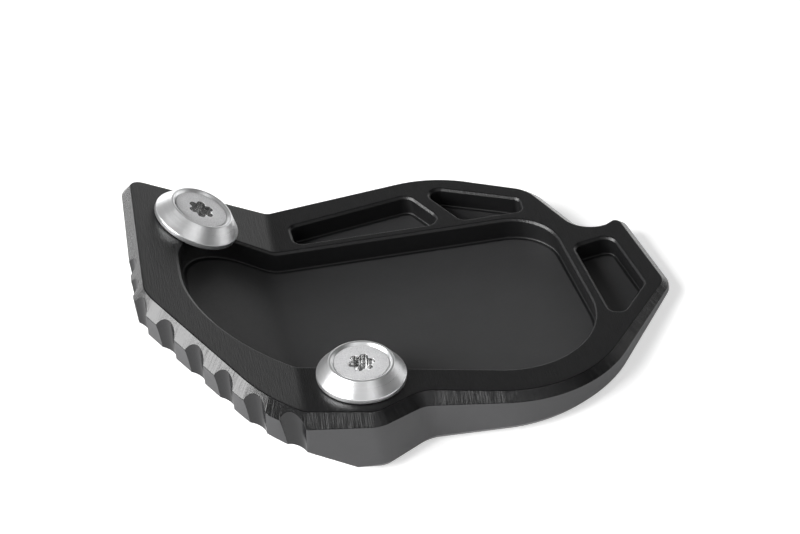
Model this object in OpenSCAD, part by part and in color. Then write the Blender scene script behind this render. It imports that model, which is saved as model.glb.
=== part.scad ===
// Foot enlarger for a motorcycle side stand.
// A milled plate with a flat half and a ramp carries a pocket for the stand's foot.
// Two cone washers with countersunk screws reach over the pocket and clamp the foot.
// The origin lies on the sole, under the point where the stand presses. +X runs down the
// flat half, -X runs up the ramp, and the bend between them is parallel to Y.

/* [Plate] */
// Height of the flat half's top above the sole, at the origin
plate_h = 11.2; // [10:0.1:14]
// Fall of the flat half towards +X, in degrees
flat_tilt = 8.5; // [6:0.5:9]
// Slope of the ramp, in degrees
ramp_tilt = 31.3; // [26:0.1:34]
// Thickness of the ramp, square to its face
ramp_t = 7.8; // [7.4:0.1:9.5]
// Distance from the origin to the bend between the flat half and the ramp
bend_x = 34.5; // [33:0.5:36]
// Radius of that bend on the top face
bend_r = 4; // [2:0.5:8]
// Radius where the sole turns up into the underside of the ramp
heel_r = 10; // [2:1:15]
// Distance from the origin to the high end of the ramp
ramp_end = 64.5; // [63:0.5:71]
// Distance from the origin to the tip at the low end
tip_x = 45.5; // [45:0.5:48]
// Distance from the origin to the front of the bulge that carries the front screw
bulge_y = 40; // [39:0.5:42]
// Distance from the origin to the back edge of the ramp
ramp_back = 34.5; // [34:0.5:38]
// Distance from the origin to the crown of the back edge
crown_y = 43.5; // [43:0.5:46]
// Width of the chamfer round the top
top_chamfer = 2.3; // [1.5:0.1:2.5]
// How much wider it is along the high end
ramp_widening = 0.3; // [0:0.1:0.5]
// Width it narrows to at the tip
tip_chamfer = 1.3; // [1:0.1:1.5]
// Width of the chamfer round the sole
sole_chamfer = 2.3; // [1:0.1:2.5]

/* [Scallops] */
// Number of scallops along the high end
side_scallops = 3; // [1:1:4]
// Distance along the wall from the back corner to the first of them
side_start = 33; // [25:0.1:33]
// Distance from one to the next
side_pitch = 6.9; // [6:0.1:7]
// Number of scallops along the slanting wall in front of them
front_scallops = 5; // [1:1:5]
// Distance along the wall from the back corner to the first of them
front_start = 54.5; // [53:0.1:55]
// Distance from one to the next
front_pitch = 7.9; // [6:0.1:8]
// Radius of the tapered cutter, level with the top face
scallop_r = 3.1; // [2.8:0.1:3.2]
// Depth of a scallop there
scallop_depth = 2; // [1:0.1:2.1]
// Taper of the cutter, in degrees
scallop_draft = 6; // [0:1:7]

/* [Pockets] */
// Depth of the pocket that takes the stand's foot
seat_depth = 4.8; // [4:0.1:5]
// Depth of the lightening pockets
light_depth = 4.3; // [3:0.1:4.4]
// Broken edge round each pocket
edge_break = 0.5; // [0.2:0.1:0.8]
// Thickness of the ribs behind and beside the foot's pocket
rib = 2.5; // [2:0.1:3]
// Distance from the origin to the low end of the foot's pocket
seat_end = 32; // [30:0.5:32.5]
// Width of the rim along the high edge of the ramp
ramp_rim = 10.5; // [10:0.5:12]
// Metal left between a screw's thread and the foot's pocket
thread_wall = 1.2; // [0.8:0.1:1.5]

/* [Washers] */
// Outer diameter
washer_d = 18.5; // [17:0.1:20]
// Width of the flat rim on top
washer_rim = 0.4; // [0.3:0.1:0.8]
// Height
washer_h = 4.1; // [3.8:0.1:5]
// Height of the upright land under the cone
washer_land = 1.2; // [0.8:0.1:2]
// Chamfer round the underside
washer_chamfer = 0.3; // [0.1:0.1:0.5]
// Diameter of the hole
washer_bore = 6.6; // [6.4:0.1:7]
// Diameter of the 90 degree countersink at the top
sink_d = 12.6; // [12:0.1:12.8]

/* [Screws] */
// Place of the front screw along X
front_screw_x = -22; // [-23:0.5:-21]
// Distance from the front of the bulge to the front screw
front_inset = 14; // [13:0.5:15]
// Distance from the high end of the ramp to the rear screw
end_inset = 15; // [14:0.5:16]
// Distance from the back edge of the ramp to the rear screw
back_inset = 12.5; // [12:0.5:14]
// Thread diameter
screw_d = 6; // [5:0.5:6]
// Length over all, head included
screw_l = 10; // [9:0.5:12]
// Diameter of the countersunk head
head_d = 11.3; // [11:0.1:11.8]
// Upright land round the head
head_land = 0.25; // [0.1:0.05:0.4]
// Width of the six-lobed socket over its lobes
socket_d = 5.6; // [4.5:0.1:5.6]
// Radius of one lobe of the socket
lobe_r = 0.62; // [0.5:0.01:0.7]
// Depth of the socket
socket_depth = 2.2; // [1.5:0.1:2.4]
// Chamfer at the screw's point
point_chamfer = 0.8; // [0.5:0.1:1]
// Clearance between the thread and its tapped hole
thread_gap = 0.05; // [0.02:0.01:0.1]
// Depth of the tapped holes, which runs right through the ramp
tapped_depth = 9.5; // [9:0.5:10]

/* [Hidden] */

$fn = 96;
// Widest step of the arcs in an outline, in degrees
arc_step = 8;
// How far a cutter runs past the face it cuts
overrun = 1;
// The same for the cutters that break the pockets' edges
lip_overrun = 0.3;
// Half size of the block that holds every cutter
reach = 90;
// How far the scallops' cutter reaches below the top face
scallop_run = plate_h + 4;
// Angle of the drill's point
drill_angle = 118;
lobes = 6;

// Places of the screws, seen from above
FRONT_SCREW = [front_screw_x, -bulge_y + front_inset];
REAR_SCREW = [-ramp_end + end_inset, ramp_back - back_inset];

// Heights of the faces over X
function flat_z(x) = plate_h - x * tan(flat_tilt);
bend_z = flat_z(-bend_x);
function ramp_z(x) = bend_z - (x + bend_x) * tan(ramp_tilt);
function under_z(x) = ramp_z(x) - ramp_t / cos(ramp_tilt);
function top_z(x) = max(flat_z(x), ramp_z(x));
// Where the underside of the ramp meets the sole
heel_x = -bend_x + (bend_z - ramp_t / cos(ramp_tilt)) / tan(ramp_tilt);

// Plane geometry
function xy(p) = [p[0], p[1]];
function unit(v) = v / norm(v);
function left_of(v) = [-v[1], v[0]];
function turned(v, a) = [v[0] * cos(a) - v[1] * sin(a), v[0] * sin(a) + v[1] * cos(a)];
function on_line(a, b, x) = [x, a[1] + (b[1] - a[1]) * (x - a[0]) / (b[0] - a[0])];

// Corner i of a path of [x, y, radius] corners, pushed inwards by d and rounded.
// The radius follows the push, so pushed paths stay parallel and have as many points.
// Each point is [x, y, d].
function corner_arc(path, i, d) =
    let (count = len(path),
         here = xy(path[i]),
         u = unit(here - xy(path[(i + count - 1) % count])),
         v = unit(xy(path[(i + 1) % count]) - here),
         bend = atan2(u[0] * v[1] - u[1] * v[0], u * v),
         corner = here + d * (left_of(u) + left_of(v)) / (1 + u * v),
         side = sign(bend),
         radius = max(0.1, path[i][2] - side * d),
         centre = corner - u * radius * tan(abs(bend) / 2) + left_of(u) * side * radius,
         steps = ceil(abs(bend) / arc_step))
    path[i][2] == 0 ? [concat(corner, d)] :
    [for (k = [0:steps]) concat(centre - side * radius * turned(left_of(u), bend * k / steps), d)];

function rounded(path, d) = [for (i = [0:len(path) - 1]) each corner_arc(path, i, d)];
// The same, pushed by the fourth number of each corner and a little more
function rounded_rim(path, more) =
    [for (i = [0:len(path) - 1]) each corner_arc(path, i, path[i][3] + more)];

// Point and outward direction at a distance along a closed run of points
function walk(points, distance, i = 0) =
    let (from = xy(points[i]),
         to = xy(points[(i + 1) % len(points)]),
         length = norm(to - from))
    distance > length ? walk(points, distance - length, i + 1) :
    [from + unit(to - from) * distance, -left_of(unit(to - from))];

// Outline of the wall, anticlockwise from the back corner of the ramp.
// Each corner has a place, a radius and the width of the top chamfer.
RAMP_CHAMFER = top_chamfer + ramp_widening;
SLOPE_CHAMFER = (top_chamfer + tip_chamfer) / 2;
OUTLINE = [
    [-ramp_end + 1, ramp_back, 5, top_chamfer],
    [-ramp_end, -bulge_y + 31.3, 10, RAMP_CHAMFER],
    [-42.4, -bulge_y + 2.5, 20, RAMP_CHAMFER],
    [-20, -bulge_y, 7, top_chamfer],
    [-10.2, -bulge_y + 5.7, 6, top_chamfer],
    [22.5, -bulge_y + 1.4, 28, SLOPE_CHAMFER],
    [tip_x, -2.5, 5, tip_chamfer],
    [tip_x - 6, 22, 2.5, tip_chamfer],
    [tip_x - 14.5, 18.5, 5, SLOPE_CHAMFER],
    [22.5, crown_y - 9, 9, SLOPE_CHAMFER],
    [2.5, crown_y, 27, top_chamfer],
    [-bend_x, ramp_back, 6, top_chamfer]
];

// Outline of the pocket for the stand's foot
SEAT_BEND = [-bend_x, ramp_back - 16.8, 10];
SEAT_BACK = [seat_end - 8.5, crown_y - 19.5, 10];
SEAT_FRONT = [seat_end, -bulge_y + 8.5, 19];
SEAT = [
    [-ramp_end + ramp_rim, ramp_back - 13.5, 11],
    [-ramp_end + ramp_rim, -bulge_y + 22.5, 23],
    SEAT_FRONT,
    SEAT_BACK,
    SEAT_BEND
];

// Sides of the lightening pockets that face the foot's pocket across a rib
function behind_seat(x) = on_line(SEAT_BEND, SEAT_BACK, x)[1] + rib;
function beside_seat(y) =
    let (run = SEAT_BACK - SEAT_FRONT)
    SEAT_FRONT[0] + run[0] * (y - SEAT_FRONT[1]) / run[1] + rib;

// Lightening pocket along the back edge of the flat half
BACK_POCKET = [
    [-bend_x + 4.3, crown_y - 16.6, 1.5],
    [-bend_x + 4.7, behind_seat(-bend_x + 4.7), 2],
    [2.2, behind_seat(2.2), 2.5],
    [-4.2, crown_y - 8.9, 2.5]
];
// Lightening pocket under the crown of the back edge
CROWN_POCKET = [
    [-2, crown_y - 5.7, 2],
    [6, behind_seat(6), 2],
    [19, behind_seat(19), 1.5],
    [19, crown_y - 13.2, 1.5]
];
// Lightening pocket at the low end
TIP_POCKET = [
    [beside_seat(-15), -15, 2],
    [tip_x - 5.5, -2.6, 2.5],
    [tip_x - 9.5, 14.6, 2.5],
    [beside_seat(12), 12, 2]
];

// Solid through a pile of rings with as many points each, from the bottom up.
// The end rings are flat, and each is closed by a fan about its middle.
module ring_solid(rings) {
    count = len(rings[0]);
    last = len(rings) - 1;
    points = concat([for (ring = rings) each ring], [middle(rings[0]), middle(rings[last])]);
    below = len(points) - 2;
    above = len(points) - 1;
    sides = [for (k = [0:last - 1], i = [0:count - 1])
        let (low = k * count, high = low + count, j = (i + 1) % count)
        each [[low + i, high + i, high + j], [low + i, high + j, low + j]]];
    ends = [for (i = [0:count - 1])
        let (j = (i + 1) % count)
        each [[below, i, j], [above, last * count + j, last * count + i]]];
    polyhedron(points, concat(sides, ends));
}

function middle(points) = [for (p = points) 1] * points / len(points);
function at_height(points, z) = [for (p = points) concat(xy(p), z)];
// Points on a 45 degree chamfer that meets the top face along an edge.
// The sides below it push outwards (1) or inwards (-1) of the edge.
function at_chamfer(points, edge, outwards) =
    [for (i = [0:len(points) - 1])
        concat(xy(points[i]), top_z(edge[i][0]) + outwards * (points[i][2] - edge[i][2]))];

// The wall with both chamfers, which run on past the top and the sole
module chamfered_wall() {
    wall = rounded(OUTLINE, 0);
    rim = rounded_rim(OUTLINE, 0);
    inside_rim = rounded_rim(OUTLINE, overrun);
    ring_solid([
        at_height(rounded(OUTLINE, sole_chamfer + overrun), -overrun),
        at_height(wall, sole_chamfer),
        at_chamfer(wall, rim, 1),
        at_chamfer(inside_rim, rim, 1),
        at_height(inside_rim, reach)
    ]);
}

// A side profile in X and Z, carried across the whole width
module across(points) {
    rotate([90, 0, 0])
        linear_extrude(2 * reach, center = true)
            polygon([for (p = points) xy(p)]);
}

// All that lies above the top face, or above a face parallel to it at a depth
module above_top(depth) {
    across(rounded([
        [-reach, ramp_z(-reach), 0],
        [-bend_x, bend_z, bend_r],
        [reach, flat_z(reach), 0],
        [reach, 2 * reach, 0],
        [-reach, 2 * reach, 0]
    ], -depth));
}

// All that lies below the sole and the underside of the ramp
module below_sole() {
    across(rounded([
        [-reach, under_z(-reach), 0],
        [-reach, -reach, 0],
        [reach, -reach, 0],
        [reach, 0, 0],
        [heel_x, 0, heel_r]
    ], 0));
}

// The plate before its pockets are milled
module blank() {
    difference() {
        chamfered_wall();
        above_top(0);
        below_sole();
    }
}

// A pocket with upright walls, a broken edge and a floor parallel to the top
module pocket(path, depth) {
    wall = rounded(path, 0);
    lip = rounded(path, -edge_break);
    outside_lip = rounded(path, -edge_break - lip_overrun);
    intersection() {
        ring_solid([
            at_height(wall, -overrun),
            at_chamfer(wall, lip, -1),
            at_chamfer(outside_lip, lip, -1),
            at_height(outside_lip, reach)
        ]);
        above_top(depth);
    }
}

// Children set square on the top face at a place
module on_top(place) {
    on_ramp = place[0] < -bend_x;
    translate([place[0], place[1], top_z(place[0])])
        rotate([0, on_ramp ? ramp_tilt : flat_tilt, 0])
            children();
}

module scallop_cuts() {
    rise = 3 * overrun;
    wall = rounded(OUTLINE, 0);
    side_run = [for (i = [0:side_scallops - 1]) side_start + i * side_pitch];
    front_run = [for (i = [0:front_scallops - 1]) front_start + i * front_pitch];
    for (distance = concat(side_run, front_run)) {
        spot = walk(wall, distance);
        centre = spot[0] + spot[1] * (scallop_r - scallop_depth);
        low_r = scallop_r - scallop_run * tan(scallop_draft);
        high_r = scallop_r + rise * tan(scallop_draft);
        translate([centre[0], centre[1], top_z(spot[0][0]) - scallop_run])
            cylinder(scallop_run + rise, r1 = low_r, r2 = high_r);
    }
}

// Metal round a screw's thread that stands out into the pocket, under the washer
module thread_lobe() {
    translate([0, 0, -reach / 2])
        cylinder(reach, r = screw_d / 2 + thread_wall);
}

module seat_pocket() {
    difference() {
        pocket(SEAT, seat_depth);
        on_top(FRONT_SCREW) thread_lobe();
        on_top(REAR_SCREW) thread_lobe();
    }
}

module tapped_hole() {
    r = screw_d / 2 + thread_gap;
    point = r / tan(drill_angle / 2);
    translate([0, 0, -tapped_depth]) {
        cylinder(tapped_depth + overrun, r = r);
        translate([0, 0, -point])
            cylinder(point, r1 = 0, r2 = r);
    }
}

module base_plate() {
    color([0.13, 0.13, 0.14])
        difference() {
            blank();
            seat_pocket();
            pocket(BACK_POCKET, light_depth);
            pocket(CROWN_POCKET, light_depth);
            pocket(TIP_POCKET, light_depth);
            scallop_cuts();
            on_top(FRONT_SCREW) tapped_hole();
            on_top(REAR_SCREW) tapped_hole();
        }
}

// Height of the countersink's cone where it reaches a radius
function sink_z(r) = washer_h - sink_d / 2 + r;

module washer() {
    color([0.80, 0.81, 0.82])
        rotate_extrude()
            polygon([
                [washer_bore / 2, 0],
                [washer_d / 2 - washer_chamfer, 0],
                [washer_d / 2, washer_chamfer],
                [washer_d / 2, washer_land],
                [sink_d / 2 + washer_rim, washer_h],
                [sink_d / 2, washer_h],
                [washer_bore / 2, sink_z(washer_bore / 2)]
            ]);
}

// Six-lobed socket, from the head's top down
module socket() {
    core_r = socket_d / 2 - 1.2 * lobe_r;
    translate([0, 0, -socket_depth]) {
        cylinder(socket_depth + overrun, r = core_r);
        for (k = [0:lobes - 1])
            rotate(k * 360 / lobes)
                translate([socket_d / 2 - lobe_r, 0, 0])
                    cylinder(socket_depth + overrun, r = lobe_r);
    }
}

module screw() {
    head_r = head_d / 2;
    shank_r = screw_d / 2;
    head_top = sink_z(head_r) + head_land;
    point = head_top - screw_l;
    color([0.62, 0.63, 0.64])
        difference() {
            rotate_extrude()
                polygon([
                    [0, point],
                    [shank_r - point_chamfer, point],
                    [shank_r, point + point_chamfer],
                    [shank_r, sink_z(shank_r)],
                    [head_r, sink_z(head_r)],
                    [head_r, head_top],
                    [0, head_top]
                ]);
            translate([0, 0, head_top]) socket();
        }
}

module front_washer() { on_top(FRONT_SCREW) washer(); }
module rear_washer() { on_top(REAR_SCREW) washer(); }
module front_screw() { on_top(FRONT_SCREW) screw(); }
module rear_screw() { on_top(REAR_SCREW) screw(); }

base_plate();
front_washer();
rear_washer();
front_screw();
rear_screw();
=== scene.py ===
# %% [markdown]
# # A kickstand foot enlarger
#
# The real thing is a small plate milled from aluminium and anodised black, with a large pocket
# in its top. Two bright cone washers with countersunk screws reach over the pocket's edge.
# The CAD model is loaded first and sets the frame: +X runs down the flat half, -X up the ramp,
# and Z is up. All lengths below are in millimetres, and MM turns them into Blender's metres.

import math

import bmesh
import bpy
import numpy as np
from mathutils import Matrix, Vector
from mathutils.geometry import delaunay_2d_cdt


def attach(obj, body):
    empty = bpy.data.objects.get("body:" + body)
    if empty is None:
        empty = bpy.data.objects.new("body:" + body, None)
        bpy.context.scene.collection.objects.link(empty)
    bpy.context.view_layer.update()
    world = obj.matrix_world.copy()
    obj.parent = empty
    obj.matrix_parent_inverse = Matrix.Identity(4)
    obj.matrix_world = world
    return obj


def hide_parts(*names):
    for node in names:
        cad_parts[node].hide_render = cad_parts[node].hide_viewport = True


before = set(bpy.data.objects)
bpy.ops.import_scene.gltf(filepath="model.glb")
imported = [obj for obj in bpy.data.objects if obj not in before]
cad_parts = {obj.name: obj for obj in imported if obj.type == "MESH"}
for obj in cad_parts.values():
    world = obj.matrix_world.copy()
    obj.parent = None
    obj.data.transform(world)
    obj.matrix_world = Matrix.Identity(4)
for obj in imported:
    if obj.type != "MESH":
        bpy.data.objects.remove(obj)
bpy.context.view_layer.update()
MM = 0.001
print("CAD nodes:", sorted(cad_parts))

# %% [markdown]
# ## The camera
#
# A product photograph like this is taken with a long lens from well above the table. The lens
# keeps upright walls parallel and the washers nearly true ellipses. A Track To constraint could
# aim the camera, but it leaves no room for a small roll. So the camera is a matrix of three
# axes and a place.

# %% Camera
CAMERA_PLACE = Vector((-28.88, -695.11, 555.25)) * MM
CAMERA_RIGHT = Vector((0.97928, -0.14002, -0.14635))
CAMERA_UP = Vector((0.20134, 0.59409, 0.77880))
CAMERA_LENS = 190.8


def camera_matrix(place, right, up):
    """The camera looks along its own -Z, so its third axis is right x up."""
    back = right.cross(up).normalized()
    m = Matrix((right, up, back)).transposed().to_4x4()
    m.translation = place
    return m


camera_data = bpy.data.cameras.new("camera")
camera_data.lens = CAMERA_LENS
camera_data.sensor_width = 36
camera = bpy.data.objects.new("camera", camera_data)
camera.matrix_world = camera_matrix(CAMERA_PLACE, CAMERA_RIGHT, CAMERA_UP)
bpy.context.collection.objects.link(camera)
bpy.context.scene.camera = camera
print("camera at", [round(v, 3) for v in CAMERA_PLACE], "m, lens", CAMERA_LENS, "mm")

# %% [markdown]
# ## The faces of the plate
#
# The plate's top is two planes that meet in a bend: a flat half that falls a little towards
# the tip, and a steep ramp. Two tilted planes in Blender would show them, but every outline has
# to lie exactly on them too. So each face is a height over X, and the floor of a pocket is the
# same surface again, moved down square to itself.

# %% Heights of the faces
PLATE_H = 11.2
BEND_X = -34.5
BEND_R = 4.0
RAMP_T = 7.8
FLAT_TILT = math.radians(8.5)
RAMP_TILT = math.radians(31.3)
FLAT_SLOPE, RAMP_SLOPE = -math.tan(FLAT_TILT), -math.tan(RAMP_TILT)
BEND = FLAT_SLOPE - RAMP_SLOPE


def bend_half(depth):
    """Half the width of the bend's fillet, whose radius grows with the depth."""
    return (BEND_R + depth) * math.tan((RAMP_TILT - FLAT_TILT) / 2) * math.cos(FLAT_TILT)


def bend_middle(depth):
    """Where the bend lies at a depth."""
    return BEND_X + depth * (1 / math.cos(FLAT_TILT) - 1 / math.cos(RAMP_TILT)) / BEND


def face_z(x, depth=0.0):
    """Height of the top face, or of a face that lies a depth below it.
    Two straight lines over x, joined by a parabola as wide as the bend's fillet."""
    flat = PLATE_H + FLAT_SLOPE * x - depth / math.cos(FLAT_TILT)
    bend_z = PLATE_H + FLAT_SLOPE * BEND_X
    ramp = bend_z + RAMP_SLOPE * (x - BEND_X) - depth / math.cos(RAMP_TILT)
    half, crease = bend_half(depth), bend_middle(depth)
    near = np.clip(crease + half - x, 0, 2 * half)
    joined = flat + BEND * near**2 / (4 * half)
    return np.where(x > crease - half, joined, ramp)


# %% Height of the underside
HEEL_X = BEND_X + (PLATE_H + FLAT_SLOPE * BEND_X - RAMP_T / math.cos(RAMP_TILT)) / -RAMP_SLOPE
HEEL_HALF = 2.6


def under_z(x):
    """Height of the underside: the sole, and left of the heel a line as steep as the ramp.
    The heel between them is a parabola again."""
    run = HEEL_X - np.asarray(x, float)
    near = np.clip(run + HEEL_HALF, 0, 2 * HEEL_HALF)
    return np.where(run < HEEL_HALF, -RAMP_SLOPE * near**2 / (4 * HEEL_HALF), -RAMP_SLOPE * run)


# Lines that follow the two bends across the plate, so that no face spans a bend
BEND_STEPS = np.linspace(-1, 1, 7)
HEEL_LINES = HEEL_X + HEEL_HALF * BEND_STEPS


def bend_lines(depth):
    return bend_middle(depth) + bend_half(depth) * BEND_STEPS


print("top at the origin", PLATE_H, "mm, heel at x", round(HEEL_X, 2))

# %% [markdown]
# ## Outlines with round corners
#
# A milling cutter leaves a round corner wherever it turns. A Bevel modifier could round a sharp
# outline, but here each corner has a radius of its own. So an outline is a short list of
# corners, and the whole track comes out as arrays: places along it and the direction that
# points inwards. The same track pushed inwards gives the chamfers and the lips, which stay
# parallel to the outline and have as many points.

# %% Tracks
ARC_STEP = math.radians(3)
SMALLEST_R = 0.1


def unit(v):
    return v / np.linalg.norm(v, axis=-1, keepdims=True)


def left_of(v):
    return np.stack([-v[..., 1], v[..., 0]], -1)


def track(corners, push=0.0):
    """Closed track of corners (x, y, radius), anticlockwise, pushed inwards.
    A pushed corner moves by push (left(u) + left(v)) / (1 + u . v), for the directions u and v
    before and after it. Its arc starts r tan(turn / 2) before the corner and turns about a
    centre that lies r to the side. The push may differ from corner to corner."""
    corners = np.array(corners, float)
    here = corners[:, :2]
    before = unit(here - np.roll(here, 1, 0))
    after = unit(np.roll(here, -1, 0) - here)
    places, inward = [], []
    for corner, u, v, d in zip(corners, before, after, np.broadcast_to(push, len(corners))):
        turn = math.atan2(u[0] * v[1] - u[1] * v[0], u @ v)
        side = math.copysign(1.0, turn)
        radius = max(SMALLEST_R, corner[2] - side * d)
        tip = corner[:2] + d * (left_of(u) + left_of(v)) / (1 + u @ v)
        centre = tip - u * radius * math.tan(abs(turn) / 2) + left_of(u) * side * radius
        angle = turn * np.linspace(0, 1, math.ceil(abs(turn) / ARC_STEP) + 1)[:, None]
        aim = left_of(u) * np.cos(angle) - u * np.sin(angle)
        places.append(centre - side * radius * aim)
        inward.append(aim)
    return np.concatenate(places), np.concatenate(inward)


# %% Places along a track
CLOSEST = 0.02


def closed(rows):
    return np.concatenate([rows, rows[:1]])


def travel(points):
    """Distance travelled at each point of a closed track, with the full length at the end."""
    return np.concatenate([[0], np.cumsum(np.linalg.norm(np.diff(closed(points), axis=0), axis=1))])


def follow(corners, s, push=0.0):
    """Places and inward directions at distances s along a track, which is then pushed.
    The distances are those of the track itself, so rings with other pushes stay in step."""
    distance = travel(track(corners)[0])
    index = np.interp(s, distance, np.arange(len(distance)))
    places, inward = (closed(a) for a in track(corners, push))
    steps = np.arange(len(distance))
    place = np.stack([np.interp(index, steps, places[:, k]) for k in (0, 1)], 1)
    aim = np.stack([np.interp(index, steps, inward[:, k]) for k in (0, 1)], 1)
    return place, unit(aim)


def crossings(corners, lines, push=0.0):
    """Distances at which a pushed track crosses the given X positions."""
    distance = travel(track(corners)[0])
    x = closed(track(corners, push)[0])[:, 0]
    found = []
    for line in lines:
        k = np.nonzero((x[:-1] > line) != (x[1:] > line))[0]
        share = (line - x[k]) / (x[k + 1] - x[k])
        found.append(distance[k] + share * (distance[k + 1] - distance[k]))
    return np.concatenate(found)


def merged(steps):
    """Sorted distances from several lists, without those that nearly fall together."""
    s = np.sort(np.concatenate(steps))
    return s[np.diff(s, prepend=-1) > CLOSEST]


# %% The plate's outline
# Each corner is x, y, radius and the width of the chamfer round the top.
OUTLINE = np.array([
    (-63.5, 34.5, 5, 2.3),
    (-64.5, -8.7, 10, 2.6),
    (-42.4, -37.5, 20, 2.6),
    (-20, -40, 7, 2.3),
    (-10.2, -34.3, 6, 2.3),
    (22.5, -38.6, 28, 1.8),
    (45.5, -2.5, 5, 1.3),
    (39.5, 22, 2.5, 1.3),
    (31, 18.5, 5, 1.8),
    (22.5, 34.5, 9, 1.8),
    (2.5, 43.5, 27, 2.3),
    (-34.5, 34.5, 6, 2.3),
])
TOP_CHAMFER, SOLE_CHAMFER = OUTLINE[:, 3], 2.3
print("outline of", len(OUTLINE), "corners,", round(travel(track(OUTLINE)[0])[-1], 1), "mm round")

# %% [markdown]
# ## The scalloped wall
#
# The scallops round the high end are a grip, cut by a tapered cutter that stands upright. A
# Boolean modifier could cut them with cones, but it leaves thin triangles that shade badly.
# Wall, chamfer and scallops are one surface instead: for each place along the outline a short
# profile runs from the sole up over the wall and the chamfer. A scallop is a bite that pushes
# the profile's lower part in. Its depth follows the cutter's circle, which shrinks on the way
# down. The arch on the chamfer comes by itself, where the bite meets the slope. The grid bends
# with the taper, so that a grid line stays on each sharp edge.

# %% Scallops
SCALLOPS = np.concatenate([33 + 6.9 * np.arange(3), 54.5 + 7.9 * np.arange(5)])
SCALLOP_R, SCALLOP_DEPTH, DRAFT = 3.1, 2.0, math.tan(math.radians(6))
SCALLOP_LEVEL = face_z(follow(OUTLINE, SCALLOPS)[0][:, 0])
CENTRE_OUT = SCALLOP_R - SCALLOP_DEPTH
WIDEST = math.sqrt(SCALLOP_R**2 - CENTRE_OUT**2)


def cutter_r(z, level):
    """Radius of the tapered cutter, which shrinks below its level."""
    return SCALLOP_R - (level - z) * DRAFT


def bite(s, z):
    """Depth of the scallops at distance s and height z: the cutter's circle, where it
    reaches in, less the distance from the wall to the circle's centre."""
    nearest = np.abs(s[:, None] - SCALLOPS[None, :]).argmin(1)
    away = s - SCALLOPS[nearest]
    circle = np.sqrt(np.clip(cutter_r(z, SCALLOP_LEVEL[nearest]) ** 2 - away**2, 0, None))
    return np.clip(circle - CENTRE_OUT, 0, None)


def plain_levels(s):
    """Heights of the wall's two ends where no scallop cuts it."""
    place, aim = follow(OUTLINE, s)
    rim = follow(OUTLINE, s, TOP_CHAMFER)[0]
    wide = ((rim - place) * aim).sum(1)
    return np.maximum(SOLE_CHAMFER, under_z(place[:, 0])), face_z(rim[:, 0]) - wide


def bent(s, share):
    """Distances moved so that each scallop is as wide as its cutter is at this share of the
    wall's height. An edge lies sqrt(r^2 - c^2) from the middle, for a centre c outside."""
    knots, moved = [0.0], [0.0]
    for middle, level in zip(SCALLOPS, SCALLOP_LEVEL):
        edges = middle + WIDEST * np.array([-1.0, 1.0])
        for _ in range(4):
            low, high = plain_levels(edges)
            r = cutter_r(low + share * (high - low), level)
            edges = middle + np.sqrt(r**2 - CENTRE_OUT**2) * np.array([-1.0, 1.0])
        knots += [middle - WIDEST, middle, middle + WIDEST]
        moved += [edges[0], middle, edges[1]]
    end = travel(track(OUTLINE)[0])[-1]
    return np.interp(s, knots + [end], moved + [end])


print("scallops at", SCALLOPS.round(1), "mm along the wall")

# %% [markdown]
# ## Meshes from rows
#
# Every ring around the part is a row of points, and two rows make a strip of quads. Real
# edges are never quite sharp: `soften` swaps each row on an edge for five rows on a small
# curve, which catches a thin line of light. A Bevel modifier does much the same, but its width
# is hard to steer where three edges meet. Flat faces with holes can't be a grid, so they are
# filled with triangles between the rings. Each face also gets UV coordinates: along and across
# a strip, or plain X and Y on a filled face. Marks of the cutter follow them later.

# %% Rows with round edges
CURVE_ROWS = 5


def lift(place, z):
    return np.column_stack([place, np.broadcast_to(z, len(place))])


def soften(rows, widths):
    """Rounds each inner row by its width. The curve is a quadratic Bezier, whose control
    points are the edge itself and the two places that lie the width before and after it."""
    q = np.linspace(0, 1, CURVE_ROWS)[:, None, None]
    out = [rows[:1]]
    for k in range(1, len(rows) - 1):
        before, after = rows[k - 1] - rows[k], rows[k + 1] - rows[k]
        start = rows[k] + before * reach_of(before, widths[k - 1])
        end = rows[k] + after * reach_of(after, widths[k - 1])
        curve = (1 - q) ** 2 * start + 2 * q * (1 - q) * rows[k] + q**2 * end
        out.append(curve if widths[k - 1] else rows[k : k + 1])
    out.append(rows[-1:])
    return np.concatenate(out)


def reach_of(edge, width):
    """The share of an edge that a rounding takes, less than half of it."""
    length = np.linalg.norm(edge, axis=-1, keepdims=True)
    return np.clip(width / np.maximum(length, 1e-9), 0, 0.45)


# %% Strips of quads


def strip(rows, along=None):
    """Quads between closed rows. They face along (direction of the row) x (row to row).
    U is the distance along the row, and V the mean distance from row to row."""
    count, n = rows.shape[:2]
    if along is None:
        along = travel(rows[0])[:-1]
    ends = np.append(along, along[-1] + np.linalg.norm(rows[0, 0] - rows[0, -1]))
    across = np.concatenate([[0], np.cumsum(np.linalg.norm(np.diff(rows, axis=0), axis=2).mean(1))])
    j, i = (a.ravel() for a in np.mgrid[0 : count - 1, 0:n])
    low, ahead = j * n + i, j * n + (i + 1) % n
    faces = np.column_stack([low, ahead, ahead + n, low + n])
    u = ends[np.column_stack([i, i + 1, i + 1, i])]
    v = across[np.column_stack([j, j, j + 1, j + 1])]
    return rows.reshape(-1, 3), faces, np.stack([u, v], -1)


# %% Rings on a flat face


def inside(points, ring):
    """Even-odd rule: a point is inside where a ray from it crosses the ring an odd number
    of times."""
    a, b = ring, np.roll(ring, -1, 0)
    y = points[:, 1][:, None]
    spans = (a[:, 1][None] > y) != (b[:, 1][None] > y)
    rise = np.where(np.abs(b[:, 1] - a[:, 1]) < 1e-12, 1e-12, b[:, 1] - a[:, 1])
    cross = a[:, 0] + (y - a[:, 1]) * (b[:, 0] - a[:, 0]) / rise
    return (spans & (points[:, 0][:, None] < cross)).sum(1) % 2 == 1


def dotted(ring, step):
    """Points at even steps along a closed ring."""
    run = travel(ring)
    s = np.arange(0, run[-1], step)
    return np.stack([np.interp(s, run, closed(ring)[:, k]) for k in (0, 1)], 1)


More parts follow.
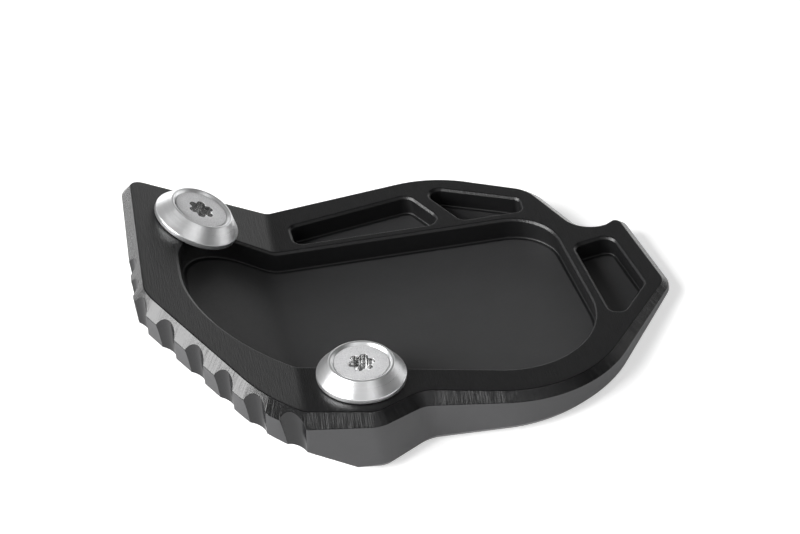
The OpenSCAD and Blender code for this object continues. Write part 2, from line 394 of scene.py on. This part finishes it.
def bowed(ring, into):
    """A ring whose straight runs bow a hair into the region: the height goes as the distance
    to one end times the distance to the other. No triangle can then join three points of a
    run, which would leave a sliver. Only the choice of triangles uses it."""
    ahead = unit(np.roll(ring, -1, 0) - ring)
    behind = np.roll(ahead, 1, 0)
    corner = np.abs(behind[:, 0] * ahead[:, 1] - behind[:, 1] * ahead[:, 0]) > 1e-3
    first = int(np.argmax(corner))
    ring, ahead, corner = (np.roll(a, -first, 0) for a in (ring, ahead, corner))
    run, index = travel(ring), np.arange(len(ring))
    last = np.maximum.accumulate(np.where(corner, index, 0))
    coming = np.minimum.accumulate(np.where(corner, index, len(ring))[::-1])[::-1]
    height = 1e-4 * (run[index] - run[last]) * (run[coming] - run[index])
    return np.roll(ring + into * height[:, None] * left_of(ahead), first, 0)


# %% Triangles between rings
# Extra points lie GRID_STEP apart and keep GRID_CLEAR from the rings, measured at EDGE_STEP
GRID_HALF, GRID_STEP, GRID_CLEAR, EDGE_STEP = 60, 0.6, 0.25, 0.2


def fill(outer, holes, height, lines=()):
    """Triangles over the region between an outer ring and holes, at height(x).
    Rows of extra points along the given X positions follow a bend across the region."""
    rings = [bowed(outer[:, :2], 1)] + [bowed(h[:, :2], -1) for h in holes]
    steps = np.arange(-GRID_HALF, GRID_HALF, GRID_STEP)
    grid = np.array([(x, y) for x in lines for y in steps]).reshape(-1, 2)
    if len(grid):
        keep = inside(grid, rings[0])
        for hole in rings[1:]:
            keep &= ~inside(grid, hole)
        edge = np.vstack([dotted(r, EDGE_STEP) for r in rings])
        away = np.linalg.norm(grid[:, None] - edge[None], axis=2).min(1)
        grid = grid[keep & (away > GRID_CLEAR)]
    flat = np.vstack(rings + [grid])
    edges, start = [], 0
    for ring in rings:
        index = np.arange(len(ring)) + start
        edges.append(np.column_stack([index, np.roll(index, -1)]))
        start += len(ring)
    found = delaunay_2d_cdt(
        [Vector(p) for p in flat], np.vstack(edges).tolist(), [], 0, 1e-6, True
    )
    source = np.array([o[0] if o else -1 for o in found[3]])
    triangles = source[np.array(found[2])]
    middle = flat[triangles].mean(1)
    keep = inside(middle, rings[0]) & (triangles >= 0).all(1)
    for hole in rings[1:]:
        keep &= ~inside(middle, hole)
    inner = np.column_stack([grid, height(grid[:, 0])])
    points = np.vstack([outer, *holes, inner])
    return points, triangles[keep], points[triangles[keep]][..., :2]


# %% One mesh from several patches
WELD = 2e-7  # metres
SHARP_EDGE = math.radians(35)


def build(name, patches):
    """Joins patches (points, faces, UV, material index, flipped) into one welded mesh in
    metres. Faces are smooth, apart from edges sharper than SHARP_EDGE."""
    points = np.concatenate([p[0] for p in patches]) * MM
    offsets = np.cumsum([0] + [len(p[0]) for p in patches[:-1]])
    faces, slots, uv = [], [], []
    for (_, shape, marks, slot, flipped), offset in zip(patches, offsets):
        shape, marks = (shape[:, ::-1], marks[:, ::-1]) if flipped else (shape, marks)
        faces += (shape + offset).tolist()
        slots += np.broadcast_to(slot, len(shape)).tolist()
        uv.append(marks.reshape(-1, 2))
    mesh = bpy.data.meshes.new(name)
    mesh.from_pydata(points, [], faces)
    mesh.polygons.foreach_set("material_index", slots)
    layer = mesh.uv_layers.new(name="marks")
    layer.data.foreach_set("uv", np.concatenate(uv).ravel())
    shape = bmesh.new()
    shape.from_mesh(mesh)
    bmesh.ops.remove_doubles(shape, verts=shape.verts, dist=WELD)
    open_edges = sum(not e.is_manifold for e in shape.edges)
    print(name, len(shape.verts), "points,", len(shape.faces), "faces,", open_edges, "open edges,")
    print("    volume", round(shape.calc_volume(signed=True) * 1e9, 1), "cubic mm")
    shape.to_mesh(mesh)
    shape.free()
    mesh.shade_smooth()
    mesh.set_sharp_from_angle(angle=SHARP_EDGE)
    piece = bpy.data.objects.new(name, mesh)
    bpy.context.collection.objects.link(piece)
    weighted = piece.modifiers.new("even faces", "WEIGHTED_NORMAL")
    weighted.keep_sharp = True
    weighted.weight = 80
    return piece


# %% [markdown]
# ## Pockets
#
# The large pocket runs across the bend, and three smaller ones only save weight. Each has a lip
# with a tiny chamfer, an upright wall, and a small round where the wall meets the floor, left by
# the corner of the cutter. Boolean cuts could sink them. Outlines with radii are used again,
# because their lips then stay clean, and the ribs between them keep an even width.

# %% Pocket outlines
RIB = 2.5
SEAT_DEPTH, LIGHT_DEPTH, EDGE_BREAK = 4.8, 4.3, 0.5
SEAT_FRONT, SEAT_BACK, SEAT_BEND = (32, -31.5, 19), (23.5, 24, 10), (-34.5, 17.7, 10)
SEAT = [(-54, 21, 11), (-54, -17.5, 23), SEAT_FRONT, SEAT_BACK, SEAT_BEND]


def behind_seat(x):
    """Y of the far side of the rib behind the large pocket."""
    (x0, y0, _), (x1, y1, _) = SEAT_BEND, SEAT_BACK
    return y0 + (y1 - y0) * (x - x0) / (x1 - x0) + RIB


def beside_seat(y):
    """X of the far side of the rib beside the large pocket."""
    (x0, y0, _), (x1, y1, _) = SEAT_FRONT, SEAT_BACK
    return x0 + (x1 - x0) * (y - y0) / (y1 - y0) + RIB


BACK_POCKET = [
    (-30.2, 26.9, 1.5),
    (-29.8, behind_seat(-29.8), 2),
    (2.2, behind_seat(2.2), 2.5),
    (-4.2, 34.6, 2.5),
]
CROWN_POCKET = [
    (-2, 37.8, 2),
    (6, behind_seat(6), 2),
    (19, behind_seat(19), 1.5),
    (19, 30.3, 1.5),
]
TIP_POCKET = [
    (beside_seat(-15), -15, 2),
    (40, -2.6, 2.5),
    (36, 14.6, 2.5),
    (beside_seat(12), 12, 2),
]
print("pockets", SEAT_DEPTH, "and", LIGHT_DEPTH, "mm deep, with ribs of", RIB, "mm")

# %% [markdown]
# ## The plate
#
# The plate is milled from one block, so it is one closed mesh: the wall strip, the top face
# with holes for the pockets, each pocket's walls and floor, and the underside with the hole for
# the rear screw. Separate planes would leave seams that the light shows. All rows of the wall
# have the same count of points, so they make one grid.

# %% Places of the screws
FRONT_SCREW, REAR_SCREW = (-22.0, -26.0), (-49.5, 22.0)


def on_top(points, place):
    """Puts points from a screw's own frame, whose Z is its axis, square onto the top face."""
    tilt = RAMP_TILT if place[0] < BEND_X else FLAT_TILT
    c, s = math.cos(tilt), math.sin(tilt)
    x, y, z = points[..., 0], points[..., 1], points[..., 2]
    turned = np.stack([x * c + z * s, y, z * c - x * s], -1)
    return turned + np.array([place[0], place[1], float(face_z(np.array(place[0])))])


def ring_of(radius, z, count=96):
    a = np.linspace(0, 2 * math.pi, count, endpoint=False)
    return np.column_stack([radius * np.cos(a), radius * np.sin(a), np.full(count, z)])


# %% Steps along the plate's wall
# The plate's material slots: WALL and FLOOR are in the pockets, SIDE and GRIP are outside
FACE, CHAMFER, WALL, SIDE, FLOOR, GRIP = range(6)
EDGE_SOFT, LIP_SOFT, FLOOR_SOFT = 0.16, 0.14, 0.5
# How far the strips reach onto the flat faces, so that the rounding shades evenly
RIM_MARGIN, UNDER_MARGIN, LIP_MARGIN, FLOOR_MARGIN = 0.6, 1.1, 0.4, 0.8


def wall_steps():
    """Distances along the wall: every point of its arcs, fine steps across each scallop, and
    the places where the bend and the heel cross it."""
    across = WIDEST * np.sin(np.linspace(-math.pi / 2, math.pi / 2, 17))
    steps = [
        travel(track(OUTLINE)[0])[:-1],
        (SCALLOPS[:, None] + across[None, :]).ravel(),
        crossings(OUTLINE, bend_lines(0), TOP_CHAMFER),
        crossings(OUTLINE, HEEL_LINES),
    ]
    return merged(steps)


# %% Rows of the plate's wall
# The last rows of the underside, of the wall and of the chamfer, where the finish changes
UNDER_END, WALL_END, CHAMFER_END = 5, 15, 20


def wall_row(s, share):
    """One row of the wall at a share of the height between the sole's chamfer and the top
    chamfer. Both ends move with the bite, so they are found by a few rounds of trial."""
    place, aim = follow(OUTLINE, s)
    _, top = plain_levels(s)
    high_cut, low = np.zeros(len(s)), plain_levels(s)[0]
    for _ in range(6):
        high_cut = bite(s, top + high_cut)
        low_cut = bite(s, low)
        low = np.maximum(SOLE_CHAMFER - low_cut, under_z((place + aim * low_cut[:, None])[:, 0]))
    z = low + share * (top + high_cut - low)
    cut = low_cut if share == 0 else bite(s, z)
    return place + aim * cut[:, None], z, cut


def plate_wall():
    """Rows from the underside up the wall, over the chamfer and onto the top face."""
    s = wall_steps()
    foot_s, rim_s = bent(s, 0), bent(s, 1)
    place, aim = follow(OUTLINE, foot_s)
    base = under_z((place + aim * SOLE_CHAMFER)[:, 0])
    foot = place + aim * np.maximum(wall_row(foot_s, 0)[2], SOLE_CHAMFER - base)[:, None]
    below = follow(OUTLINE, foot_s, SOLE_CHAMFER + UNDER_MARGIN)[0]
    rim, margin = (follow(OUTLINE, rim_s, TOP_CHAMFER + more)[0] for more in (0, RIM_MARGIN))
    rows = [lift(below, under_z(below[:, 0])), lift(foot, under_z(foot[:, 0]))]
    rows += [lift(*wall_row(bent(s, share), share)[:2]) for share in (0, 0.25, 0.5, 0.75, 1)]
    rows += [lift(rim, face_z(rim[:, 0])), lift(margin, face_z(margin[:, 0]))]
    soft = [EDGE_SOFT, EDGE_SOFT, 0, 0, 0, EDGE_SOFT, EDGE_SOFT]
    return soften(np.array(rows), soft), s


# %% Walls of a pocket
LIP_END = 8  # the row in the lip's lower rounding where the finish changes


def pocket_walls(corners, depth):
    """Rows from the top face over the lip, down the wall and onto the pocket's floor."""
    steps = [
        travel(track(corners)[0])[:-1],
        crossings(corners, bend_lines(0), -EDGE_BREAK),
        crossings(corners, bend_lines(depth), FLOOR_MARGIN),
    ]
    pushes = (-EDGE_BREAK - LIP_MARGIN, -EDGE_BREAK, 0, FLOOR_MARGIN)
    margin, lip, place, floor = (follow(corners, merged(steps), push)[0] for push in pushes)
    lip_z = face_z(lip[:, 0])
    rows = np.array(
        [
            lift(margin, face_z(margin[:, 0])),
            lift(lip, lip_z),
            lift(place, lip_z - EDGE_BREAK),
            lift(place, face_z(place[:, 0], depth)),
            lift(floor, face_z(floor[:, 0], depth)),
        ]
    )
    return soften(rows, [LIP_SOFT, LIP_SOFT, FLOOR_SOFT])


# %% Build the plate
wall, wall_s = plate_wall()
# Faces within a scallop take the GRIP finish, whose darker black is painted shade in the hollows.
from_middle = wall_s[:, None] - SCALLOPS[None, :]
gripped = ((from_middle > -WIDEST - 0.01) & (from_middle < WIDEST - 0.01)).any(1)
side_or_grip = np.tile(np.where(gripped, GRIP, SIDE), WALL_END - UNDER_END)
pockets = [
    (pocket_walls(SEAT, SEAT_DEPTH), SEAT_DEPTH),
    (pocket_walls(BACK_POCKET, LIGHT_DEPTH), LIGHT_DEPTH),
    (pocket_walls(CROWN_POCKET, LIGHT_DEPTH), LIGHT_DEPTH),
    (pocket_walls(TIP_POCKET, LIGHT_DEPTH), LIGHT_DEPTH),
]
HOLE_R, HOLE_TOP = 3.05, -5
hole_rows = np.array([on_top(ring_of(HOLE_R, z), REAR_SCREW) for z in (-RAMP_T, HOLE_TOP)])

patches = [
    (*strip(wall[: UNDER_END + 1], wall_s), SIDE, False),
    (*strip(wall[UNDER_END : WALL_END + 1], wall_s), side_or_grip, False),
    (*strip(wall[WALL_END : CHAMFER_END + 1], wall_s), CHAMFER, False),
    (*strip(wall[CHAMFER_END:], wall_s), FACE, False),
    (*fill(wall[-1], [p[0][0] for p in pockets], face_z, bend_lines(0)), FACE, False),
    (*fill(wall[0], [hole_rows[0]], under_z, HEEL_LINES), FACE, True),
    (*strip(hole_rows), WALL, False),
    (*fill(hole_rows[1], [], lambda x: x), WALL, True),
]
for rows, depth in pockets:
    lines = bend_lines(depth) if depth == SEAT_DEPTH else ()
    patches += [
        (*strip(rows[: LIP_END + 1]), FACE, False),
        (*strip(rows[LIP_END:]), WALL, False),
        (*fill(rows[-1], [], lambda x, d=depth: face_z(x, d), lines), FLOOR, False),
    ]
plate = build("plate", patches)

# %% [markdown]
# ## Bosses round the threads
#
# Where a screw stands close to the large pocket, a round boss keeps metal round its thread.
# Both bosses hide under the washers. On the real plate they are part of the block, but as
# closed posts that stand in the pocket they look the same and leave the pocket's grid simple.

# %% Bosses
BOSS_R, BOSS_SINK, BOSS_GAP = 4.2, 0.5, 0.02


def boss(name, place, depth):
    """A closed round post: rows of rings from the middle of its foot to the middle of its
    top."""
    sizes = [(0, -depth), (BOSS_R, -depth), (BOSS_R, -BOSS_GAP), (0, -BOSS_GAP)]
    rows = np.array([on_top(ring_of(r, z), place) for r, z in sizes])
    return build(name, [(*strip(rows), 0, False)])


bosses = [
    boss("front_boss", FRONT_SCREW, SEAT_DEPTH + BOSS_SINK),
    boss("rear_boss", REAR_SCREW, SEAT_DEPTH + BOSS_SINK),
]

# %% [markdown]
# ## Cone washers
#
# The washers are turned on a lathe, so each is one profile carried round an axis. The profile
# has a short upright land, a cone, a narrow flat rim and a countersink for the screw's head.
# It is a closed loop, and its corners are rounded like all others. The Screw modifier would
# turn it as well, but arrays give each point a UV place for the lines that the lathe leaves.

# %% Washers
WASHER_D, WASHER_H, WASHER_LAND, WASHER_BORE, SINK_D = 18.5, 4.1, 1.2, 6.6, 12.6
WASHER_RIM, WASHER_CHAMFER, WASHER_SOFT = 0.4, 0.3, 0.12


def sink_z(r):
    """Height of the 90 degree countersink at a radius."""
    return WASHER_H - SINK_D / 2 + r


def round_loop(profile, width):
    """A closed profile with each corner swapped for a small Bezier curve."""
    p = np.array(profile, float)
    q = np.linspace(0, 1, 6)[:, None, None]
    before, after = np.roll(p, 1, 0) - p, np.roll(p, -1, 0) - p
    start, end = p + before * reach_of(before, width), p + after * reach_of(after, width)
    curves = (1 - q) ** 2 * start + 2 * q * (1 - q) * p + q**2 * end
    return curves.transpose(1, 0, 2).reshape(-1, 2)


def lathe(profile, count=160):
    """Profile points (radius, height) turned about Z: (r cos a, r sin a, z)."""
    a = np.linspace(0, 2 * math.pi, count, endpoint=False)
    r, z = profile[:, 0][:, None], profile[:, 1][:, None]
    return np.stack([r * np.cos(a), r * np.sin(a), z + 0 * a], -1)


def washer(name, place):
    profile = round_loop(
        [
            (WASHER_BORE / 2, 0),
            (WASHER_D / 2 - WASHER_CHAMFER, 0),
            (WASHER_D / 2, WASHER_CHAMFER),
            (WASHER_D / 2, WASHER_LAND),
            (SINK_D / 2 + WASHER_RIM, WASHER_H),
            (SINK_D / 2, WASHER_H),
            (WASHER_BORE / 2, sink_z(WASHER_BORE / 2)),
        ],
        WASHER_SOFT,
    )
    rows = on_top(lathe(np.vstack([profile, profile[:1]])), place)
    return build(name, [(*strip(rows), 0, False)])


washers = [washer("front_cone", FRONT_SCREW), washer("rear_cone", REAR_SCREW)]

# %% [markdown]
# ## Screws
#
# The countersunk head has a six-lobed socket. Six small cylinders could cut it out, but one
# formula gives the whole edge: a radius that swings in and out six times round the axis. The
# rows start in the middle of the socket's floor, climb its wall, cross the head and go on down
# the cone and the shank to the point.

# %% Screws
SCREW_R, SCREW_L, HEAD_R, HEAD_LAND = 3.0, 10.0, 5.65, 0.25
SOCKET_R, SOCKET_WAVE, SOCKET_DEPTH = 2.52, 0.37, 2.2
SOCKET_FOOT, SOCKET_BREAK, POINT_CHAMFER = 0.2, 0.05, 0.8
SOCKET_END = 14  # the row in the rounding of the socket's edge where the finish changes


def socket_ring(scale, z, count):
    """Six-lobed ring: r = mean + wave (cos 6a - cos 12a / 4), where the second wave makes the
    lobes full and the ridges between them narrow."""
    a = np.linspace(0, 2 * math.pi, count, endpoint=False)
    swing = np.cos(6 * a) - 0.25 * np.cos(12 * a)
    r = (SOCKET_R + SOCKET_WAVE * swing) * scale
    return np.column_stack([r * np.cos(a), r * np.sin(a), np.full(count, z)])


def screw(name, place, turn):
    count = 192
    top = sink_z(HEAD_R) + HEAD_LAND
    point = top - SCREW_L
    rings = [
        socket_ring(0, top - SOCKET_DEPTH, count),
        socket_ring(0.96, top - SOCKET_DEPTH, count),
        socket_ring(1, top - SOCKET_DEPTH + SOCKET_FOOT, count),
        socket_ring(1, top - SOCKET_BREAK, count),
        socket_ring(1.03, top, count),
        ring_of(SOCKET_R + SOCKET_WAVE + 0.5, top, count),
        ring_of(HEAD_R, top, count),
        ring_of(HEAD_R, top - HEAD_LAND, count),
        ring_of(SCREW_R, sink_z(SCREW_R), count),
        ring_of(SCREW_R, point + POINT_CHAMFER, count),
        ring_of(SCREW_R - POINT_CHAMFER, point, count),
        ring_of(0, point, count),
    ]
    rows = soften(np.array(rings), [0.05, 0.05, 0.04, 0.04, 0.01, 0.1, 0.08, 0.1, 0.1, 0.1])
    c, s = math.cos(turn), math.sin(turn)
    rows = np.stack([rows[..., 0] * c - rows[..., 1] * s, rows[..., 0] * s + rows[..., 1] * c,
                     rows[..., 2]], -1)
    rows = on_top(rows, place)
    socket_strip, head_strip = strip(rows[: SOCKET_END + 1]), strip(rows[SOCKET_END:])
    return build(name, [(*socket_strip, 1, True), (*head_strip, 0, True)])


screws = [
    screw("front_head", FRONT_SCREW, math.radians(8)),
    screw("rear_head", REAR_SCREW, math.radians(25)),
]

# %% [markdown]
# ## Which piece stands for which CAD node
#
# The CAD model holds the same five pieces as plain solids. Each finished mesh takes the place
# of its solid, which is hidden. The bosses are extra meshes, because in the CAD
# model they belong to the plate. Nothing moves, so all of them ride on the root.

# %% Ride and replace
for piece, node in zip(
    [plate, *washers, *screws],
    ["base_plate", "front_washer", "rear_washer", "front_screw", "rear_screw"],
):
    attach(piece, "root")
    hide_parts(node)
for piece in bosses:
    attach(piece, "root")
print("pieces:", [piece.name for piece in [plate, *bosses, *washers, *screws]])

# %% [markdown]
# ## Black anodising
#
# Anodised aluminium is a thin, glassy, dyed skin on metal. It looks black and satin, and keeps
# every mark of the cutter underneath. The marks could be modelled or painted, but all finishes
# share one effect, a field of fine parallel streaks. It is noise that is squeezed hard in one
# direction, and it goes into a node group once. Flat faces read Object coordinates, and the
# chamfers and washers read the UV map, because their streaks follow the edge.

# %% Shared node group: streaks


def node(tree, kind, **values):
    made = tree.nodes.new(kind)
    for key, value in values.items():
        setattr(made, key, value)
    return made


def streak_group():
    """Fine stretched noise and a slow cloud, put out as a tone round 1 and as a height."""
    tree = bpy.data.node_groups.new("milling_streaks", "ShaderNodeTree")
    for name, kind, value in [
        ("Vector", "NodeSocketVector", None),
        ("Fine", "NodeSocketFloat", 0.5),
        ("Cloud", "NodeSocketFloat", 0.2),
    ]:
        socket = tree.interface.new_socket(name, in_out="INPUT", socket_type=kind)
        if value is not None:
            socket.default_value = value
    tree.interface.new_socket("Tone", in_out="OUTPUT", socket_type="NodeSocketFloat")
    tree.interface.new_socket("Height", in_out="OUTPUT", socket_type="NodeSocketFloat")
    inputs, outputs = node(tree, "NodeGroupInput"), node(tree, "NodeGroupOutput")
    fine = node(tree, "ShaderNodeTexNoise")
    fine.inputs["Scale"].default_value = 1.0
    fine.inputs["Detail"].default_value = 3.0
    fine.inputs["Roughness"].default_value = 0.65
    cloud = node(tree, "ShaderNodeTexNoise")
    cloud.inputs["Scale"].default_value = 0.12
    cloud.inputs["Detail"].default_value = 2.0
    tree.links.new(inputs.outputs["Vector"], fine.inputs["Vector"])
    tree.links.new(inputs.outputs["Vector"], cloud.inputs["Vector"])
    parts = []
    for source, weight in ((fine, "Fine"), (cloud, "Cloud")):
        centred = node(tree, "ShaderNodeMath", operation="SUBTRACT")
        centred.inputs[1].default_value = 0.5
        scaled = node(tree, "ShaderNodeMath", operation="MULTIPLY")
        tree.links.new(source.outputs["Fac"], centred.inputs[0])
        tree.links.new(centred.outputs[0], scaled.inputs[0])
        tree.links.new(inputs.outputs[weight], scaled.inputs[1])
        parts.append(scaled)
    both = node(tree, "ShaderNodeMath", operation="ADD")
    tone = node(tree, "ShaderNodeMath", operation="ADD")
    tone.inputs[1].default_value = 1.0
    tree.links.new(parts[0].outputs[0], both.inputs[0])
    tree.links.new(parts[1].outputs[0], both.inputs[1])
    tree.links.new(both.outputs[0], tone.inputs[0])
    tree.links.new(tone.outputs[0], outputs.inputs["Tone"])
    tree.links.new(fine.outputs["Fac"], outputs.inputs["Height"])
    return tree


STREAKS = streak_group()

# %% Material maker
ROUGH_SWING = 0.5


def finish(name, colour, roughness, squeeze, marks=False, fine=0.5, cloud=0.2, bump=0.02,
           metallic=0.0, ior=1.5):
    """A satin finish: the streaks tint the colour, vary the roughness and lift the surface.
    squeeze is the number of streaks per millimetre along x, y and z, or along U and V where
    the marks follow the surface."""
    material = bpy.data.materials.new(name)
    material.use_nodes = True
    tree = material.node_tree
    shader = tree.nodes["Principled BSDF"]
    shader.inputs["Metallic"].default_value = metallic
    shader.inputs["IOR"].default_value = ior
    mapping = node(tree, "ShaderNodeMapping", vector_type="TEXTURE")
    if marks:
        coordinates = node(tree, "ShaderNodeUVMap", uv_map="marks")
        mapping.inputs["Scale"].default_value = [1 / n for n in squeeze]
        tree.links.new(coordinates.outputs["UV"], mapping.inputs["Vector"])
    else:
        coordinates = node(tree, "ShaderNodeTexCoord")
        mapping.inputs["Scale"].default_value = [MM / n for n in squeeze]
        tree.links.new(coordinates.outputs["Object"], mapping.inputs["Vector"])
    streaks = node(tree, "ShaderNodeGroup")
    streaks.node_tree = STREAKS
    streaks.inputs["Fine"].default_value = fine
    streaks.inputs["Cloud"].default_value = cloud
    tree.links.new(mapping.outputs["Vector"], streaks.inputs["Vector"])
    tint = node(tree, "ShaderNodeMix", data_type="RGBA", blend_type="MULTIPLY")
    tint.inputs["Factor"].default_value = 1.0
    tint.inputs["A"].default_value = (*colour, 1)
    tree.links.new(streaks.outputs["Tone"], tint.inputs["B"])
    tree.links.new(tint.outputs["Result"], shader.inputs["Base Color"])
    rough = node(tree, "ShaderNodeMapRange")
    rough.inputs["To Min"].default_value = roughness * (1 - ROUGH_SWING / 2)
    rough.inputs["To Max"].default_value = roughness * (1 + ROUGH_SWING / 2)
    tree.links.new(streaks.outputs["Height"], rough.inputs["Value"])
    tree.links.new(rough.outputs["Result"], shader.inputs["Roughness"])
    relief = node(tree, "ShaderNodeBump")
    relief.inputs["Strength"].default_value = 1.0
    relief.inputs["Distance"].default_value = bump * MM
    tree.links.new(streaks.outputs["Height"], relief.inputs["Height"])
    tree.links.new(relief.outputs["Normal"], shader.inputs["Normal"])
    return material


# %% The plate's finishes
BLACK = (0.0042, 0.0042, 0.0046)
plate_materials = [
    finish("black_milled_face", BLACK, 0.32, (5, 0.3, 0.3), fine=0.9, bump=0.055),
    finish("black_chamfer", BLACK, 0.20, (5, 0.05, 1), marks=True, fine=0.8, bump=0.075, ior=1.55),
    finish("black_pocket_wall", BLACK, 0.45, (2, 2, 0.4), fine=0.4, bump=0.01),
    # The side wall's lighter black is painted light, standing in for the sheen of the white floor
    # that the wall faces.
    finish("black_side_painted_light", (0.050, 0.050, 0.052), 0.48, (1.5, 1.5, 1.5), fine=0.2, bump=0.004),
    # The pocket floors' lighter black is painted light; their anodising is the same as on the top.
    finish("black_pocket_floor_painted_light", (0.036, 0.036, 0.037), 0.5, (1.5, 1.5, 1.5), fine=0.2,
           bump=0.004),
    # The darker black of the scallops is painted shade in the hollows of the grip.
    finish("black_grip_painted_shade", (0.008, 0.008, 0.009), 0.24, (3, 0.3, 1), marks=True, fine=0.3,
           bump=0.01),
]
for material in plate_materials:
    plate.data.materials.append(material)
for piece in bosses:
    piece.data.materials.append(plate_materials[WALL])
print("plate finishes:", [material.name for material in plate_materials])

# %% [markdown]
# ## Bright metal
#
# The washers keep the fine rings of the lathe, so their streaks run along U. The screws are
# plated with zinc, which is duller and a little grainy. Full metal would mirror too sharply, so
# it is mixed: part metal, part pale skin. Their sockets are darker.

# %% Washer and screw finishes
turned = finish("turned_aluminium", (0.86, 0.865, 0.87), 0.30, (0.02, 4, 1), marks=True,
                fine=0.15, cloud=0.05, bump=0.03, metallic=0.85)
zinc = finish("zinc_plating", (0.86, 0.86, 0.87), 0.45, (4, 4, 4), fine=0.7, bump=0.02,
              metallic=0.4)
socket = finish("socket_shadow", (0.6, 0.6, 0.6), 0.25, (4, 4, 4), fine=0.6, metallic=1.0)
for piece in washers:
    piece.data.materials.append(turned)
for piece in screws:
    piece.data.materials.append(zinc)
    piece.data.materials.append(socket)
print("bright finishes:", [material.name for material in (turned, zinc, socket)])

# %% [markdown]
# ## The studio
#
# A black part shows its shape by what it mirrors, so the lights are placed for their mirror
# images: a large soft light on the left for the chamfer with the scallops, a weaker one in
# front with a narrow strip, and a dim world with a bright band low behind the part, which the
# ramp and the washers show. One lamp straight above would leave all edges black.
# The floor is white in the picture: a little light of its own is added for camera rays, and
# for the rays that metal mirrors. The shadow stays, because the rest of the floor's brightness
# comes from the lamps.

# %% Floor
FLOOR_HALF, FLOOR_TONE, FLOOR_GLOW = 3.0, 0.8, 0.56
floor_mesh = bpy.data.meshes.new("floor")
floor_mesh.from_pydata(
    [(-FLOOR_HALF, -FLOOR_HALF, 0), (FLOOR_HALF, -FLOOR_HALF, 0), (FLOOR_HALF, FLOOR_HALF, 0),
     (-FLOOR_HALF, FLOOR_HALF, 0)], [], [(0, 1, 2, 3)])
floor = bpy.data.objects.new("floor", floor_mesh)
bpy.context.collection.objects.link(floor)

paper = bpy.data.materials.new("white_paper")
paper.use_nodes = True
tree = paper.node_tree
shader = tree.nodes["Principled BSDF"]
shader.inputs["Base Color"].default_value = (FLOOR_TONE, FLOOR_TONE, FLOOR_TONE, 1)
shader.inputs["Roughness"].default_value = 0.9
shader.inputs["Specular IOR Level"].default_value = 0.0
glow = node(tree, "ShaderNodeEmission")
path = node(tree, "ShaderNodeLightPath")
seen = path.outputs["Is Camera Ray"]
for ray in ("Is Glossy Ray", "Is Transmission Ray"):
    either = node(tree, "ShaderNodeMath", operation="MAXIMUM")
    tree.links.new(seen, either.inputs[0])
    tree.links.new(path.outputs[ray], either.inputs[1])
    seen = either.outputs[0]
strength = node(tree, "ShaderNodeMath", operation="MULTIPLY")
strength.inputs[1].default_value = FLOOR_GLOW
tree.links.new(seen, strength.inputs[0])
tree.links.new(strength.outputs[0], glow.inputs["Strength"])
both = node(tree, "ShaderNodeAddShader")
tree.links.new(shader.outputs[0], both.inputs[0])
tree.links.new(glow.outputs[0], both.inputs[1])
tree.links.new(both.outputs[0], tree.nodes["Material Output"].inputs["Surface"])
floor.data.materials.append(paper)
print("floor", 2 * FLOOR_HALF, "m wide")

# %% Lamps


def softbox(name, direction, distance, size, power):
    """A rectangular area lamp at a distance in a direction, facing the part."""
    data = bpy.data.lights.new(name, "AREA")
    data.shape = "RECTANGLE"
    data.size, data.size_y = size
    data.energy = power
    lamp = bpy.data.objects.new(name, data)
    lamp.location = Vector(direction).normalized() * distance
    lamp.rotation_euler = (-lamp.location).to_track_quat("-Z", "Y").to_euler()
    bpy.context.collection.objects.link(lamp)


softbox("key", (-0.77, -0.25, 0.59), 1.2, (1.1, 0.75), 28)
softbox("front", (0.25, -0.65, 0.72), 1.4, (1.4, 0.9), 1.8)
softbox("strip", (0.3, -0.56, 0.77), 1.3, (0.12, 0.9), 0.6)
print("lamps:", [lamp.name for lamp in bpy.data.lights])

# %% World
# For each axis: place and tone of the lower stop, then of the upper stop. The three bands are
# multiplied.
WORLD_BANDS = {
    "Z": ((0.0, 1.0), (0.45, 0.06)),
    "Y": ((0.2, 0.2), (0.65, 1.0)),
    "X": ((0.0, 1.0), (0.5, 0.6)),
}
world = bpy.data.worlds.new("studio")
bpy.context.scene.world = world
world.use_nodes = True
tree = world.node_tree
background = tree.nodes["Background"]
direction = node(tree, "ShaderNodeTexCoord")
split = node(tree, "ShaderNodeSeparateXYZ")
bands = []
for axis, stops in WORLD_BANDS.items():
    band = node(tree, "ShaderNodeValToRGB")
    for element, (place, tone) in zip(band.color_ramp.elements, stops):
        element.position = place
        element.color = (tone, tone, tone, 1)
    tree.links.new(split.outputs[axis], band.inputs["Fac"])
    bands.append(band)
tone = bands[0].outputs["Color"]
for band in bands[1:]:
    both = node(tree, "ShaderNodeMix", data_type="RGBA", blend_type="MULTIPLY")
    both.inputs["Factor"].default_value = 1.0
    tree.links.new(tone, both.inputs["A"])
    tree.links.new(band.outputs["Color"], both.inputs["B"])
    tone = both.outputs["Result"]
tree.links.new(direction.outputs["Generated"], split.inputs[0])
tree.links.new(tone, background.inputs["Color"])
background.inputs["Strength"].default_value = 2.6
print("world bands over", list(WORLD_BANDS))
bpy.context.scene.view_settings.view_transform = "Standard"
